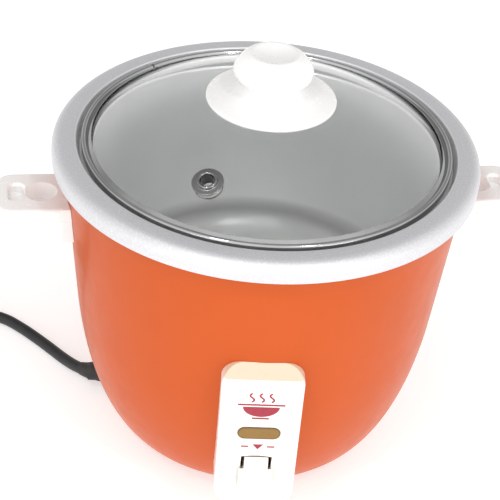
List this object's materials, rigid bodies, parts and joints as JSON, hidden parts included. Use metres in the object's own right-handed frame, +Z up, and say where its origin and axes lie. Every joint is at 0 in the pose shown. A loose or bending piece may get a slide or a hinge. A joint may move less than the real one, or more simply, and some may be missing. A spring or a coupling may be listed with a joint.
{
  "type": "rice cooker",
  "caption": "Drum rice cooker: enamelled steel housing, loose flanged pot, domed glass lid with knob, cook lever with magnetic thermostat, side handles and mains lead.",
  "frame": {"origin": "on the table, under the middle of the pot, at the middle of the body's outline", "axes": "+Z up along the pot's axis, control panel towards -Y, side handles along X"},
  "size_m": [0.3967, 0.2645, 0.2177],
  "materials": {
    "orange_enamel": "glossy baked enamel on pressed steel",
    "spun_aluminium": "spun, satin inside, blasted speckle on the flange",
    "cast_aluminium": "cast and face turned",
    "drum_steel": "bright zinc-plated sheet",
    "polished_steel": "polished stainless steel",
    "plated_steel": "zinc-plated steel",
    "spring_steel": "drawn wire",
    "clear_glass": "tempered, clear",
    "white_plastic": "glossy heat-resistant plastic",
    "cream_plastic": "glossy moulded plastic, warm white",
    "amber_lens": "translucent amber",
    "lamp_glass": "small neon bulb",
    "white_silicone": "matte silicone",
    "black_rubber": "matte black",
    "black_pvc": "satin flexible sheath",
    "black_plastic": "moulded",
    "block_plastic": "moulded, off-white",
    "red_plastic": "moulded",
    "brass_part": "turned",
    "ferrite": "sintered, dark grey"
  },
  "bodies": {
    "base": {"outer_housing": "orange_enamel", "heat_drum": "drum_steel", "heating_plate": "cast_aluminium", "plate_spacers": "plated_steel", "element_terminals": "plated_steel", "lever_bracket": "plated_steel", "bracket_screws": "plated_steel", "lever_pin": "plated_steel", "thermal_fuse": "block_plastic", "terminal_block": "block_plastic", "microswitch": "black_plastic", "control_panel": "cream_plastic", "indicator_lens": "amber_lens", "indicator_lamp": "lamp_glass", "panel_screws": "plated_steel", "handle_left": "white_plastic", "handle_right": "white_plastic", "handle_screws": "plated_steel", "base_plate": "drum_steel", "feet": "black_rubber", "base_screws": "plated_steel", "cord_gland": "black_rubber", "power_cord": "black_pvc", "cord_coil": "black_pvc", "cord_tie": "black_plastic", "plug_lead": "black_pvc", "plug_body": "black_plastic", "plug_pins": "plated_steel"},
    "switch_button": {"switch_plunger": "red_plastic"},
    "cook_lever": {"cook_key": "cream_plastic", "lever_arm": "plated_steel"},
    "magnet_carrier": {"magnet_rod": "brass_part", "magnet": "ferrite", "magnet_spring": "spring_steel"},
    "sensor": {"sensor_cup": "spun_aluminium", "sensor_ferrite": "ferrite", "sensor_spring": "spring_steel"},
    "pot": {"inner_pot": "spun_aluminium"},
    "lid": {"lid_glass": "clear_glass", "lid_band": "polished_steel", "lid_knob": "white_plastic", "knob_gasket": "white_silicone", "knob_washer": "plated_steel", "knob_screw": "plated_steel", "vent_eyelet": "polished_steel", "vent_gasket": "white_silicone"}
  },
  "joints": [
    {"name": "pot_lift", "type": "slide", "parent": "base", "child": "pot", "axis": [0, 0, 1], "range_m": [0, 0.13]},
    {"name": "lid_lift", "type": "slide", "parent": "pot", "child": "lid", "axis": [0, 0, 1], "range_m": [0, 0.08]},
    {"name": "sensor_rise", "type": "slide", "parent": "base", "child": "sensor", "axis": [0, 0, 1], "range_m": [0, 0.002], "deforming": ["sensor_spring"]},
    {"name": "lever_press", "type": "hinge", "parent": "base", "child": "cook_lever", "pos_m": [0, -0.037, 0.02825], "axis": [1, 0, 0], "range_deg": [0, 6.5], "stiffness_Nm_per_rad": 0.3, "springref_deg": -11.46},
    {"name": "magnet_lift", "type": "slide", "parent": "base", "child": "magnet_carrier", "axis": [0, 0, 1], "range_m": [0, 0.00419], "deforming": ["magnet_spring"]},
    {"name": "plunger_press", "type": "slide", "parent": "base", "child": "switch_button", "axis": [0, 0, -1], "range_m": [0, 0.0017]}
  ],
  "couplings": [
    {"joint": "sensor_rise", "follows": "pot_lift", "ratio": 0.015385},
    {"joint": "magnet_lift", "follows": "lever_press", "m_per_rad": 0.036921},
    {"joint": "plunger_press", "follows": "lever_press", "m_per_rad": 0.014968}
  ]
}
